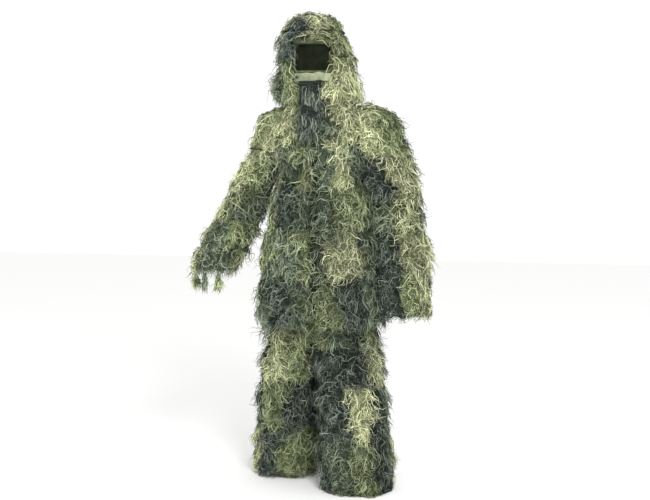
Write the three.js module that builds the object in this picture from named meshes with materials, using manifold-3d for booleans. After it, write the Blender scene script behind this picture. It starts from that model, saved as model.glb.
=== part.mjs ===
// A ghillie suit, worn: hooded jacket and trousers of netting cloth, with rows of yarn fringe sewn round them.
// Millimetres, +Z up, -Y is the wearer's front and +X the wearer's left. Levels are heights above the
// ground; the finished group is lowered so that its origin is the base of the neck, between the two
// high shoulder points, where the suit hangs on its wearer.
import * as THREE from "three";
import { mergeVertices } from "three/addons/utils/BufferGeometryUtils.js";
import Module from "manifold-3d";

const wasm = await Module();
wasm.setup();

// ---------------------------------------------------------------- driving dimensions
const CLOTH = 3; // netting cloth with the knots of the yarn on it
const SEAM = 0.4; // clearance between pieces that are sewn or buttoned together
const FAR = 2000; // larger than the suit, for cutting planes

const NECK_LEVEL = 1500; // base of the neck, the suit's origin
const HEM_LEVEL = 655; // jacket's cloth hem
const WAIST_LEVEL = 1104; // top of the trousers
const CROTCH_LEVEL = 835; // lower edge of the seat
const THIGH_TOP = 872; // the leg tubes start inside the seat
const LEG_HEM_LEVELS = { left: 12, right: 30 };
const CUFF_LEVELS = { left: 690, right: 840 };

const ARMHOLE_PLANE = 158; // half width across the armholes
const ARMHOLE_TOP = 1446;
const ARMHOLE_BOTTOM = 1236;
// The balls of the sleeve heads. The wearer carries the right shoulder closer in.
const SHOULDERS = {
  left: { x: 188, y: -12, level: 1372, radius: 98 },
  right: { x: 172, y: -12, level: 1372, radius: 84 },
};
const SLEEVE_HEAD_ANGLES = [15, 32, 50, 70]; // rings on the ball, in degrees from its top
const ELBOW_LEVELS = { left: 1050, right: 1090 };
const ELBOW_HALF = 60; // cloth that folds at the elbow, above and below its axis
const KNEE_LEVEL = 480;
const KNEE_HALF = 65;

const FRINGE_TOP = 8; // a row of yarn is flat where it is sewn on...
const FRINGE_BOTTOM = 26; // ...and stands out where it ends
const FRINGE_PRESSED = 6; // yarn on a side that lies against the body
const ROW_GAP = 1; // above and below a row of yarn

const ZIP_TOP = 1392;
const ZIP_BOTTOM = 668;
const ZIP_OPENING = 22; // between the two front edges
const TAPE_THICK = 1.6;
const TEETH_GAP = 2.4;
const TOOTH = { wide: 2.2, deep: 3.2 };
const SLIDER = { wide: 11, tall: 15, plate: 1.5, post: 1.4 };
const PULL = { wide: 7, long: 21, thick: 1.8, pin: 1.1, eye: 2.9, play: 0.35, standoff: 3.2 };

const WINDOW = { x: -9, wide: 130, tall: 96, corner: 13, level: 1640 }; // the eye opening
const BINDING = 9; // sewn edge round the eye opening
const BINDING_THICK = 3;
const BRIM = { out: 15, tall: 13, overhang: 6 };
const FACE_GAP = 8; // the hood's yarn ends this far from the binding
const SCREEN = { lap: 10, setBack: 6, thick: 2 };
const CHIN_BAND = { top: 1589, bottom: 1552, thick: 4, inner: -78, outer: 60 };
const CHIN_FRINGE = { top: 106, bottom: 88, end: 1352, thick: 18, back: -160, lean: 24 };
const SNAP = { radius: 6, thick: 2.6 };

const WAISTBAND_TALL = 38;
const ELASTIC = { thick: 1.5, tall: 22, rise: 4 };
const GUSSET = { wide: 22, drop: 62 };
const TASSEL = { long: 62, neck: 4, bulb: 10 };

const SIDES = 24; // facets round every tube of cloth

// ---------------------------------------------------------------- cloth forms
// A form is a stack of oval rings, lowest first: [level, centre x, centre y, half width, half depth, squareness].
// Squareness 2 is an ellipse and larger is nearer a rounded box.
// Stops are further levels where the cloth gets a ring of its own, so that what is sewn there lies flat on it.
const RING = 5;
function makeForm(rings, stops = []) {
  const sorted = [...rings].sort((a, b) => a[0] - b[0]);
  const knots = sorted.map((ring) => ring[0]);
  const values = sorted.flatMap((ring) => ring.slice(1));
  const curve = new THREE.LinearInterpolant(knots, values, RING, new Float32Array(RING));
  return {
    levels: [...new Set([...knots, ...stops])].sort((a, b) => a - b),
    at(level) {
      const [x, y, halfWide, halfDeep, squareness] = curve.evaluate(level);
      return { x, y, halfWide, halfDeep, squareness };
    },
  };
}

// The point of a form at a level and an angle (0 is the front, 90 degrees the wearer's left), moved outwards
// by a margin {x, y}, with its ring moved sideways by margin.shift. At radius 0 it is the ring's centre.
function surfacePoint(form, level, angle, margin, radius = 1) {
  const ring = form.at(level);
  const along = (c) => radius * Math.sign(c) * Math.abs(c) ** (2 / ring.squareness);
  return new THREE.Vector3(
    ring.x + (margin.shift ?? 0) + (ring.halfWide + margin.x) * along(Math.sin(angle)),
    ring.y - (ring.halfDeep + margin.y) * along(Math.cos(angle)),
    level,
  );
}

const even = (margin) => ({ x: margin, y: margin });
const between = (a, b, t) => ({
  x: THREE.MathUtils.lerp(a.x, b.x, t),
  y: THREE.MathUtils.lerp(a.y, b.y, t),
  shift: THREE.MathUtils.lerp(a.shift ?? 0, b.shift ?? 0, t),
});

// A plug that fills a form from one level to another: a lathe of unit radius whose points are moved onto the
// form. Its margin goes from one value at `top` to another at `bottom`; `over` carries it on past both.
function core(form, top, bottom, upper, lower = upper, over = 0) {
  const inner = form.levels.filter((level) => level < top && level > bottom);
  const levels = [bottom, ...inner, top];
  if (over > 0) levels.splice(0, levels.length, bottom - over, ...levels, top + over);
  levels.reverse();
  const profile = [
    new THREE.Vector2(0, levels[0]),
    ...levels.map((level) => new THREE.Vector2(1, level)),
    new THREE.Vector2(0, levels.at(-1)),
  ];
  const geometry = new THREE.LatheGeometry(profile, SIDES);
  const position = geometry.attributes.position;
  for (let i = 0; i < position.count; i++) {
    const side = Math.floor(i / profile.length) % SIDES;
    const level = position.getY(i);
    const margin = between(upper, lower, (top - level) / (top - bottom));
    const { x: radius } = profile[i % profile.length];
    const point = surfacePoint(form, level, (side * 2 * Math.PI) / SIDES, margin, radius);
    position.setXYZ(i, point.x, point.y, point.z);
  }
  return toSolid(geometry);
}

const shell = (form, top, bottom) =>
  core(form, top, bottom, even(0)).subtract(core(form, top, bottom, even(-CLOTH), even(-CLOTH), CLOTH));

// A flat elastic that lies against the inside of a tube.
const elasticBand = (form, top, bottom) =>
  core(form, top, bottom, even(-CLOTH - SEAM)).subtract(
    core(form, top, bottom, even(-CLOTH - SEAM - ELASTIC.thick), even(-CLOTH - SEAM - ELASTIC.thick), CLOTH),
  );

// ---------------------------------------------------------------- solids and meshes
function toSolid(geometry) {
  const flat = geometry.index ? geometry.toNonIndexed() : geometry.clone();
  flat.deleteAttribute("normal");
  flat.deleteAttribute("uv");
  const merged = mergeVertices(flat, 1e-3);
  const triVerts = new Uint32Array(merged.index.array);
  const vertProperties = merged.attributes.position.array;
  const made = new wasm.Manifold(new wasm.Mesh({ numProp: 3, vertProperties, triVerts }));
  if (made.volume() >= 0) return made;
  for (let i = 0; i < triVerts.length; i += 3) {
    [triVerts[i + 1], triVerts[i + 2]] = [triVerts[i + 2], triVerts[i + 1]];
  }
  return new wasm.Manifold(new wasm.Mesh({ numProp: 3, vertProperties, triVerts }));
}

function toGeometry(solid) {
  const { vertProperties, triVerts, numProp } = solid.getMesh();
  const position = new Float32Array((vertProperties.length / numProp) * 3);
  for (let i = 0; i < position.length / 3; i++) {
    position.set(vertProperties.subarray(i * numProp, i * numProp + 3), i * 3);
  }
  const geometry = new THREE.BufferGeometry();
  geometry.setAttribute("position", new THREE.BufferAttribute(position, 3));
  geometry.setIndex(new THREE.BufferAttribute(triVerts, 1));
  return geometry;
}

// A box between two corners.
function block(low, high) {
  const size = high.map((value, i) => value - low[i]);
  const middle = high.map((value, i) => (value + low[i]) / 2);
  return toSolid(new THREE.BoxGeometry(...size).translate(...middle));
}

// A disc or pin: its axis runs along X, Y or Z.
function cylinder(axis, radius, length, centre) {
  const geometry = new THREE.CylinderGeometry(radius, radius, length, 16);
  if (axis === "x") geometry.rotateZ(Math.PI / 2);
  if (axis === "z") geometry.rotateX(Math.PI / 2);
  return toSolid(geometry.translate(...centre));
}

const COLOURS = {
  cloth: new THREE.MeshStandardMaterial({ color: 0x4b543c, roughness: 0.95, metalness: 0 }),
  yarn: new THREE.MeshStandardMaterial({ color: 0x7d8663, roughness: 1, metalness: 0 }),
  bareCloth: new THREE.MeshStandardMaterial({ color: 0xb4bb8c, roughness: 0.9, metalness: 0 }),
  screen: new THREE.MeshStandardMaterial({ color: 0x20241c, roughness: 0.9, metalness: 0 }),
  elastic: new THREE.MeshStandardMaterial({ color: 0x2e332b, roughness: 0.85, metalness: 0 }),
  tape: new THREE.MeshStandardMaterial({ color: 0x3a4132, roughness: 0.85, metalness: 0 }),
  metal: new THREE.MeshStandardMaterial({ color: 0x4c4f45, roughness: 0.4, metalness: 1 }),
};

const suit = new THREE.Group();
function add(name, solid, material, parent = suit) {
  const mesh = new THREE.Mesh(toGeometry(solid), material);
  mesh.name = name;
  parent.add(mesh);
  return mesh;
}

// ---------------------------------------------------------------- fringe rows
// A row of yarn round a form. `room` says how far it may stand out at its lower edge: {x, y, shift}.
function fringeRow(form, top, bottom, room = even(FRINGE_BOTTOM)) {
  const sewn = even(SEAM);
  const flat = { x: Math.min(FRINGE_TOP, room.x), y: Math.min(FRINGE_TOP, room.y) };
  const [from, to] = [top - ROW_GAP, bottom + ROW_GAP];
  return core(form, from, to, flat, room).subtract(core(form, from, to, sewn, sewn, ROW_GAP));
}

// ---------------------------------------------------------------- jacket body
const FRONT_TOP = 150; // the front edge is one straight line, for the zip
const FRONT_BOTTOM = 174;
const FRONT_TOP_LEVEL = 1400;
const frontAt = (level) =>
  THREE.MathUtils.mapLinear(level, FRONT_TOP_LEVEL, HEM_LEVEL, FRONT_TOP, FRONT_BOTTOM);

// [level, half width, half depth, squareness] of the body below the shoulders, its front on the zip's line.
const JACKET_RINGS = [
  [FRONT_TOP_LEVEL, 172, 132, 3],
  [1370, 176, 136, 3],
  [1300, 170, 138, 3],
  [ARMHOLE_BOTTOM, 149, 138, 2.8],
  [1168, 159, 139, 2.7],
  [WAIST_LEVEL, 175, 141, 2.6],
  [950, 202, 150, 2.6],
  [800, 216, 160, 2.8],
  [HEM_LEVEL, 222, 168, 2.9],
];
const JACKET_ROWS = [1490, 1344, 1168, 1004, 822, HEM_LEVEL - 15];
const jacketForm = makeForm(
  [
    [NECK_LEVEL, 0, -5, 84, 82, 2],
    [1478, 0, -8, 118, 94, 2.2],
    [ARMHOLE_TOP, 0, -14, 154, 114, 2.6],
    ...JACKET_RINGS.map(([level, wide, deep, square]) => [level, 0, deep - frontAt(level), wide, deep, square]),
  ],
  JACKET_ROWS,
);
// How far the yarn stands out sideways and forwards at each row's lower edge: the arms press the sides flat.
const JACKET_ROOM = [
  { x: FRINGE_BOTTOM, y: FRINGE_BOTTOM },
  { x: FRINGE_PRESSED, y: FRINGE_BOTTOM },
  { x: 9, y: FRINGE_BOTTOM },
  { x: 12, y: FRINGE_BOTTOM },
  { x: 12, y: FRINGE_BOTTOM },
];
const SIDE_SEAM = -8; // the plane of the side and shoulder seams

function addJacket() {
  const cuts = [-1, 1].map((side) =>
    block(
      side > 0 ? [ARMHOLE_PLANE, -FAR, ARMHOLE_BOTTOM] : [-FAR, -FAR, ARMHOLE_BOTTOM],
      side > 0 ? [FAR, FAR, ARMHOLE_TOP] : [-ARMHOLE_PLANE, FAR, ARMHOLE_TOP],
    ),
  );
  const body = cuts.reduce((solid, cut) => solid.subtract(cut), shell(jacketForm, NECK_LEVEL, HEM_LEVEL));
  const behind = block([-FAR, SIDE_SEAM + SEAM / 2, 0], [FAR, FAR, FAR]);
  const ahead = block([-FAR, -FAR, 0], [FAR, SIDE_SEAM - SEAM / 2, FAR]);
  const edge = ZIP_OPENING / 2;
  add("jacket_back", body.intersect(behind), COLOURS.cloth);
  const front = body.intersect(ahead).subtract(block([-edge, -FAR, 0], [edge, 0, FRONT_TOP_LEVEL]));
  add("jacket_front_left", front.intersect(block([SEAM / 2, -FAR, 0], [FAR, FAR, FAR])), COLOURS.cloth);
  add("jacket_front_right", front.intersect(block([-FAR, -FAR, 0], [-SEAM / 2, FAR, FAR])), COLOURS.cloth);

  // The rows stop short of the zip, and beside the armholes they stay between the sleeves.
  const slot = block([-edge - 2, -FAR, 0], [edge + 2, 0, FAR]);
  const betweenSleeves = block([-ARMHOLE_PLANE, -FAR, ARMHOLE_BOTTOM], [ARMHOLE_PLANE, FAR, FAR]);
  const belowArmholes = block([-FAR, -FAR, 0], [FAR, FAR, ARMHOLE_BOTTOM]);
  const room = betweenSleeves.add(belowArmholes).subtract(slot);
  JACKET_ROOM.forEach((stand, row) => {
    const ring = fringeRow(jacketForm, JACKET_ROWS[row], JACKET_ROWS[row + 1], stand);
    add(`jacket_fringe_row_${row + 1}`, ring.intersect(room), COLOURS.yarn);
  });
}

// The collar stands on the neck edge, inside the hood.
const COLLAR_TOP = 1530;
const collarForm = makeForm([
  [NECK_LEVEL + SEAM, 0, -5, 84, 82, 2],
  [COLLAR_TOP, 0, -5, 82, 82, 2],
]);
const addCollar = () => add("collar", shell(collarForm, COLLAR_TOP, NECK_LEVEL + SEAM), COLOURS.cloth);

// ---------------------------------------------------------------- front zip
// Built upright at the origin, then leaned onto the jacket's front line. Local -Y is outwards.
function addZip() {
  const zip = new THREE.Group();
  const length = ZIP_TOP - ZIP_BOTTOM;
  const lean = Math.atan2(frontAt(ZIP_BOTTOM) - frontAt(ZIP_TOP), length);
  zip.position.set(0, -frontAt(ZIP_TOP) + CLOTH / 2, ZIP_TOP);
  zip.rotation.x = -lean;
  suit.add(zip);

  for (const [side, name] of [[1, "left"], [-1, "right"]]) {
    const inner = TEETH_GAP / 2;
    const outer = ZIP_OPENING / 2 - SEAM;
    const across = (a, b) => (side > 0 ? [a, b] : [-b, -a]);
    const [tape0, tape1] = across(inner, outer);
    const [tooth0, tooth1] = across(inner, inner + TOOTH.wide);
    const tape = block([tape0, -TAPE_THICK / 2, -length], [tape1, TAPE_THICK / 2, 0]);
    const teeth = block([tooth0, -TOOTH.deep / 2, -length], [tooth1, TOOTH.deep / 2, 0]);
    add(`zipper_tape_${name}`, tape.add(teeth), COLOURS.tape, zip);
  }

  const gap = TOOTH.deep / 2 + SEAM;
  const plateOut = -gap - SLIDER.plate;
  const halfWide = SLIDER.wide / 2;
  const plate = (y0, y1) => block([-halfWide, y0, -SLIDER.tall], [halfWide, y1, 0]);
  const post = block([-SLIDER.post / 2, -gap - 0.1, -SLIDER.tall], [SLIDER.post / 2, gap + 0.1, 0]);
  const pinY = plateOut - PULL.standoff;
  const pinZ = -SLIDER.tall / 3;
  const cheekIn = PULL.wide / 2 + SEAM;
  const cheeks = [-1, 1].map((side) =>
    block(
      [side > 0 ? cheekIn : -halfWide, pinY - PULL.pin, pinZ - 2],
      [side > 0 ? halfWide : -cheekIn, plateOut + 0.1, pinZ + 2],
    ),
  );
  const pin = cylinder("x", PULL.pin, SLIDER.wide - 0.2, [0, pinY, pinZ]);
  const slider = [plate(gap, gap + SLIDER.plate), post, ...cheeks, pin].reduce(
    (solid, piece) => solid.add(piece),
    plate(plateOut, -gap),
  );
  add("zipper_slider", slider, COLOURS.metal, zip);

  const halfPull = PULL.wide / 2;
  const eye = cylinder("x", PULL.eye, PULL.wide, [0, pinY, pinZ]);
  const tab = block(
    [-halfPull, pinY - PULL.thick / 2, pinZ - PULL.long],
    [halfPull, pinY + PULL.thick / 2, pinZ],
  );
  const bore = cylinder("x", PULL.pin + PULL.play, PULL.wide + 2, [0, pinY, pinZ]);
  add("zipper_pull", eye.add(tab).subtract(bore), COLOURS.metal, zip);
}

// ---------------------------------------------------------------- hood
const HOOD_X = -14; // the head is carried a little to the wearer's right
const CROWN_X = -36;
const HOOD_REAR = 82 - 5 + SEAM + CLOTH + 1; // back of the collar, plus the hood's own cloth
const hoodRearRing = (level, halfWide, halfDeep, square) => [
  level,
  HOOD_X,
  HOOD_REAR - halfDeep,
  halfWide,
  halfDeep,
  square,
];
const HOOD_BOTTOM = 1512;
const HOOD_TOP = 1806;
const HOOD_ROWS = [1792, 1742, 1644, HOOD_BOTTOM + 10];
const hoodForm = makeForm([
  [HOOD_TOP, CROWN_X, -18, 32, 42, 2],
  [1795, CROWN_X, -18, 64, 76, 2],
  [1770, CROWN_X, -20, 94, 106, 2.1],
  [1730, CROWN_X, -22, 112, 124, 2.2],
  [1690, -30, -25, 117, 130, 2.2],
  [1640, -22, -26, 124, 129, 2.2],
  [1590, -16, -30, 134, 126, 2.2],
  hoodRearRing(1540, 148, 118, 2.2),
  hoodRearRing(HOOD_BOTTOM, 152, 118, 2.2),
], HOOD_ROWS);

// A rounded rectangle in the XZ plane, as a bar that runs through the front of the hood.
function windowBar(left, right, bottom, top, corner) {
  const shape = new THREE.Shape();
  shape.moveTo(left + corner, bottom);
  shape.lineTo(right - corner, bottom);
  shape.absarc(right - corner, bottom + corner, corner, -Math.PI / 2, 0);
  shape.lineTo(right, top - corner);
  shape.absarc(right - corner, top - corner, corner, 0, Math.PI / 2);
  shape.lineTo(left + corner, top);
  shape.absarc(left + corner, top - corner, corner, Math.PI / 2, Math.PI);
  shape.lineTo(left, bottom + corner);
  shape.absarc(left + corner, bottom + corner, corner, Math.PI, 1.5 * Math.PI);
  const depth = 240;
  const geometry = new THREE.ExtrudeGeometry(shape, { depth, bevelEnabled: false, curveSegments: 3 });
  return toSolid(geometry.rotateX(Math.PI / 2).translate(0, -60, 0));
}

const windowSides = (margin) => [
  WINDOW.x - WINDOW.wide / 2 - margin,
  WINDOW.x + WINDOW.wide / 2 + margin,
  WINDOW.level - WINDOW.tall / 2 - margin,
  WINDOW.level + WINDOW.tall / 2 + margin,
  WINDOW.corner + margin / 2,
];

// Cloth that lies on the hood between two margins, over the face.
const hoodLayer = (inside, outside) =>
  core(hoodForm, 1760, HOOD_BOTTOM, even(outside)).subtract(
    core(hoodForm, 1760, HOOD_BOTTOM, even(inside), even(inside), 10),
  );

function addHood() {
  const eyeHole = windowBar(...windowSides(0));
  const outer = core(hoodForm, HOOD_TOP, HOOD_BOTTOM, even(0));
  const inner = core(hoodForm, HOOD_TOP - 2 * CLOTH, HOOD_BOTTOM, even(-CLOTH), even(-CLOTH), CLOTH / 2);
  add("hood_shell", outer.subtract(inner).subtract(eyeHole), COLOURS.cloth);

  // The sewn edge round the eye opening is folded out over the brow as a short brim.
  const edge = hoodLayer(SEAM, BINDING_THICK).intersect(windowBar(...windowSides(BINDING))).subtract(eyeHole);
  const brimBottom = WINDOW.level + WINDOW.tall / 2 + BINDING / 2;
  const brimHalf = WINDOW.wide / 2 + BRIM.overhang;
  const brim = hoodLayer(SEAM, BRIM.out).intersect(
    block([WINDOW.x - brimHalf, -FAR, brimBottom], [WINDOW.x + brimHalf, -60, brimBottom + BRIM.tall]),
  );
  add("face_opening_binding", edge.add(brim), COLOURS.bareCloth);

  const screenOut = -CLOTH - SEAM;
  const screen = hoodLayer(screenOut - SCREEN.thick, screenOut).intersect(windowBar(...windowSides(SCREEN.lap)));
  add("eye_screen", screen, COLOURS.screen);

  const gapHalf = WINDOW.wide / 2 + BINDING + FACE_GAP;
  const faceGap = block(
    [WINDOW.x - gapHalf, -FAR, 0],
    [WINDOW.x + gapHalf, -60, brimBottom + BRIM.tall + ROW_GAP],
  );
  ["hood_crown_fringe", "hood_fringe_row_1", "hood_fringe_row_2"].forEach((name, row) => {
    const ring = fringeRow(hoodForm, HOOD_ROWS[row], HOOD_ROWS[row + 1]);
    add(name, ring.subtract(faceGap), COLOURS.yarn);
  });
}

// The chin flap closes the hood below the eyes. It swings open sideways and is held by a press stud.
function addChinFlap() {
  const bandTop = Math.min(CHIN_BAND.top, WINDOW.level - WINDOW.tall / 2 - BINDING - SEAM);
  const bandSpace = block([CHIN_BAND.inner, -FAR, CHIN_BAND.bottom], [CHIN_BAND.outer, -60, bandTop]);
  const inside = SNAP.thick + 2 * SEAM;
  add("chin_flap", hoodLayer(inside, inside + CHIN_BAND.thick).intersect(bandSpace), COLOURS.bareCloth);

  const shape = new THREE.Shape();
  const top = CHIN_BAND.bottom - SEAM;
  shape.moveTo(-CHIN_FRINGE.top / 2, top);
  shape.lineTo(-CHIN_FRINGE.bottom / 2, CHIN_FRINGE.end);
  shape.lineTo(CHIN_FRINGE.bottom / 2, CHIN_FRINGE.end);
  shape.lineTo(CHIN_FRINGE.top / 2, top);
  shape.closePath();
  const geometry = new THREE.ExtrudeGeometry(shape, { depth: CHIN_FRINGE.thick, bevelEnabled: false });
  geometry.rotateX(Math.PI / 2);
  const position = geometry.attributes.position;
  for (let i = 0; i < position.count; i++) {
    const lean = ((top - position.getZ(i)) / (top - CHIN_FRINGE.end)) * CHIN_FRINGE.lean;
    position.setY(i, position.getY(i) + CHIN_FRINGE.back - lean);
  }
  add("chin_fringe", toSolid(geometry.translate(HOOD_X, 0, 0)), COLOURS.yarn);

  const studX = CHIN_BAND.inner + 2 * SNAP.radius;
  const level = (bandTop + CHIN_BAND.bottom) / 2;
  const disc = cylinder("y", SNAP.radius, 60, [studX, -150, level]);
  add("chin_snap_stud", hoodLayer(SEAM, SEAM + SNAP.thick).intersect(disc), COLOURS.metal);
  const over = inside + CHIN_BAND.thick + SEAM;
  add("chin_snap_cap", hoodLayer(over, over + SNAP.thick).intersect(disc), COLOURS.metal);
}

// ---------------------------------------------------------------- sleeves
// [level, centre x, centre y, radius] below the ball of the shoulder, drawn for the wearer's left.
const SLEEVE_ROWS = {
  left: [[1446, 1290], [1290, 1112], [988, 850], [850, 678]],
  right: [[1446, 1300], [1300, 1152], [1028, 930], [930, CUFF_LEVELS.right]],
};
const SLEEVE_RINGS = {
  left: [
    [1290, 232, -14, 90],
    [1200, 264, -16, 86],
    [ELBOW_LEVELS.left, 300, -28, 85],
    [900, 320, -56, 85],
    [CUFF_LEVELS.left, 328, -92, 83],
  ],
  right: [
    [1290, 194, -14, 81],
    [1200, 254, -20, 79],
    [ELBOW_LEVELS.right, 304, -30, 78],
    [1000, 340, -60, 78],
    [CUFF_LEVELS.right, 398, -126, 77],
  ],
};

function sleeveForm(sideName) {
  const side = sideName === "left" ? 1 : -1;
  const shoulder = SHOULDERS[sideName];
  const ball = [...SLEEVE_HEAD_ANGLES, 90].map((degrees) => {
    const angle = THREE.MathUtils.degToRad(degrees);
    const radius = shoulder.radius * Math.sin(angle);
    const level = shoulder.level + shoulder.radius * Math.cos(angle);
    return [level, side * shoulder.x, shoulder.y, radius, radius, 2];
  });
  const tube = SLEEVE_RINGS[sideName].map(([level, x, y, radius]) => [level, side * x, y, radius, radius, 2]);
  const fold = ELBOW_LEVELS[sideName];
  const hem = CUFF_LEVELS[sideName];
  const stops = [fold + ELBOW_HALF, fold - ELBOW_HALF, hem + ELASTIC.rise, hem + ELASTIC.rise + ELASTIC.tall];
  return makeForm([...ball, ...tube], [...stops, ...SLEEVE_ROWS[sideName].flat()]);
}

function addSleeve(sideName) {
  const side = sideName === "left" ? 1 : -1;
  const form = sleeveForm(sideName);
  const elbow = ELBOW_LEVELS[sideName];
  const cuff = CUFF_LEVELS[sideName];
  const shoulder = SHOULDERS[sideName];
  const top = shoulder.level + shoulder.radius * Math.cos(THREE.MathUtils.degToRad(SLEEVE_HEAD_ANGLES[0]));
  const plane = ARMHOLE_PLANE + SEAM;
  const outsideBody = (gap) =>
    side > 0 ? block([plane + gap, -FAR, 0], [FAR, FAR, FAR]) : block([-FAR, -FAR, 0], [-plane - gap, FAR, FAR]);

  const inner = core(form, top - 2 * CLOTH, elbow + ELBOW_HALF, even(-CLOTH), even(-CLOTH), CLOTH / 2);
  const upper = core(form, top, elbow + ELBOW_HALF, even(0)).subtract(inner).intersect(outsideBody(0));
  add(`${sideName}_upper_sleeve`, upper, COLOURS.cloth);
  const fold = shell(form, elbow + ELBOW_HALF - SEAM, elbow - ELBOW_HALF + SEAM);
  add(`${sideName}_elbow_cloth`, fold, COLOURS.cloth);
  add(`${sideName}_forearm_sleeve`, shell(form, elbow - ELBOW_HALF, cuff), COLOURS.cloth);
  const elasticBottom = cuff + ELASTIC.rise;
  add(`${sideName}_cuff_elastic`, elasticBand(form, elasticBottom + ELASTIC.tall, elasticBottom), COLOURS.elastic);

  const shift = (FRINGE_BOTTOM - FRINGE_PRESSED) / 2;
  const pressed = { x: FRINGE_BOTTOM - shift, y: FRINGE_BOTTOM - 4, shift: side * shift };
  SLEEVE_ROWS[sideName].forEach(([rowTop, rowBottom], index) => {
    const row = fringeRow(form, rowTop, rowBottom, pressed).intersect(outsideBody(SEAM));
    add(`${sideName}_sleeve_fringe_row_${index + 1}`, row, COLOURS.yarn);
  });
}

// Three twists of yarn that hang from the edge of the wearer's right cuff.
const TASSEL_ANGLES = [-62, -15, 24];
function addTassels() {
  const form = sleeveForm("right");
  const level = CUFF_LEVELS.right;
  TASSEL_ANGLES.forEach((degrees, index) => {
    const at = surfacePoint(form, level, THREE.MathUtils.degToRad(degrees), even(-CLOTH / 2));
    const profile = [
      [0, -SEAM],
      [TASSEL.neck, -SEAM],
      [TASSEL.neck, -TASSEL.long * 0.35],
      [TASSEL.bulb, -TASSEL.long * 0.6],
      [TASSEL.bulb * 0.8, -TASSEL.long * 0.92],
      [0, -TASSEL.long],
    ].map(([radius, height]) => new THREE.Vector2(radius, height));
    const geometry = new THREE.LatheGeometry(profile, 8).rotateX(Math.PI / 2);
    add(`right_cuff_tassel_${index + 1}`, toSolid(geometry.translate(at.x, at.y, level)), COLOURS.yarn);
  });
}

// ---------------------------------------------------------------- trousers
const HIP = { x: 92.8, y: -6 };
const seatTop = jacketForm.at(WAIST_LEVEL).halfWide - CLOTH - 2 * SEAM;
const WAISTBAND_BOTTOM = WAIST_LEVEL - WAISTBAND_TALL;
const WAIST_ELASTIC_BOTTOM = WAISTBAND_BOTTOM + (WAISTBAND_TALL - ELASTIC.tall) / 2;
const seatForm = makeForm([
  [WAIST_LEVEL, 0, -18, seatTop, 112, 2.4],
  [WAISTBAND_BOTTOM, 0, -18, seatTop, 112, 2.4],
  [960, 0, -8, 174, 122, 2.6],
  [THIGH_TOP + 8, 0, HIP.y, 175, 122, 3],
  [CROTCH_LEVEL, 0, HIP.y, 175, 122, 3],
], [WAIST_ELASTIC_BOTTOM, WAIST_ELASTIC_BOTTOM + ELASTIC.tall]);

// [level, centre x, centre y, half width, half depth] of each leg, drawn for the wearer's left.
const THIGH_HALF_WIDE = 175 - CLOTH - 2 * SEAM - HIP.x; // the thigh tops sit inside the seat
const LEG_RINGS = {
  left: [
    [THIGH_TOP, HIP.x, HIP.y, THIGH_HALF_WIDE, 80],
    [CROTCH_LEVEL, HIP.x, HIP.y - 2, THIGH_HALF_WIDE, 80],
    [640, 108, -26, 90, 82],
    [KNEE_LEVEL, 124, -50, 98, 104],
    [250, 142, -78, 108, 112],
    [LEG_HEM_LEVELS.left, 160, -105, 118, 120],
  ],
  right: [
    [THIGH_TOP, HIP.x, HIP.y, THIGH_HALF_WIDE, 80],
    [CROTCH_LEVEL, HIP.x, HIP.y + 1, THIGH_HALF_WIDE, 80],
    [640, 108, 8, 90, 82],
    [KNEE_LEVEL, 124, 20, 98, 104],
    [250, 142, 45, 108, 112],
    [LEG_HEM_LEVELS.right, 160, 74, 118, 120],
  ],
};
const THIGH_ROW_TOP = HEM_LEVEL - 23; // the first row hangs from just under the jacket
const SHORTEST_ROW = 60;
const KNEE_ROW = [Math.min(KNEE_LEVEL + KNEE_HALF, THIGH_ROW_TOP - SHORTEST_ROW), KNEE_LEVEL - KNEE_HALF];
const LEG_ROWS = {
  left: [[THIGH_ROW_TOP, KNEE_ROW[0]], KNEE_ROW, [KNEE_ROW[1], 214], [214, 2]],
  right: [[THIGH_ROW_TOP, KNEE_ROW[0]], KNEE_ROW, [KNEE_ROW[1], 224], [224, 20]],
};
const LEG_ROW_NAMES = ["thigh_fringe_row", "knee_fringe_row", "shin_fringe_row_1", "shin_fringe_row_2"];
const LEG_ROW_STAND = [10, 20, FRINGE_BOTTOM, FRINGE_BOTTOM];

function addSeat() {
  add("trouser_waistband", shell(seatForm, WAIST_LEVEL, WAISTBAND_BOTTOM), COLOURS.cloth);
  const elastic = elasticBand(seatForm, WAIST_ELASTIC_BOTTOM + ELASTIC.tall, WAIST_ELASTIC_BOTTOM);
  add("waist_elastic", elastic, COLOURS.elastic);
  add("trouser_seat", shell(seatForm, WAISTBAND_BOTTOM - SEAM, CROTCH_LEVEL), COLOURS.cloth);

  // The gusset hangs between the thighs, from the seat's front edge to its back edge.
  const reach = 122 - CLOTH / 2;
  const arc = (ry, rz, fromAngle, toAngle, clockwise) =>
    new THREE.EllipseCurve(0, 0, ry, rz, fromAngle, toAngle, clockwise).getPoints(12);
  const under = arc(reach + CLOTH / 2, GUSSET.drop + CLOTH, Math.PI, 2 * Math.PI, false);
  const over = arc(reach - CLOTH / 2, GUSSET.drop, 2 * Math.PI, Math.PI, true);
  const outline = new THREE.Shape([...under, ...over]);
  const strip = new THREE.ExtrudeGeometry(outline, { depth: GUSSET.wide, bevelEnabled: false });
  strip.translate(0, 0, -GUSSET.wide / 2);
  const turned = new THREE.Matrix4().makeBasis(
    new THREE.Vector3(0, 1, 0),
    new THREE.Vector3(0, 0, 1),
    new THREE.Vector3(1, 0, 0),
  );
  strip.applyMatrix4(turned).translate(0, HIP.y, CROTCH_LEVEL - SEAM);
  add("crotch_gusset", toSolid(strip), COLOURS.cloth);
}

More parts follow.
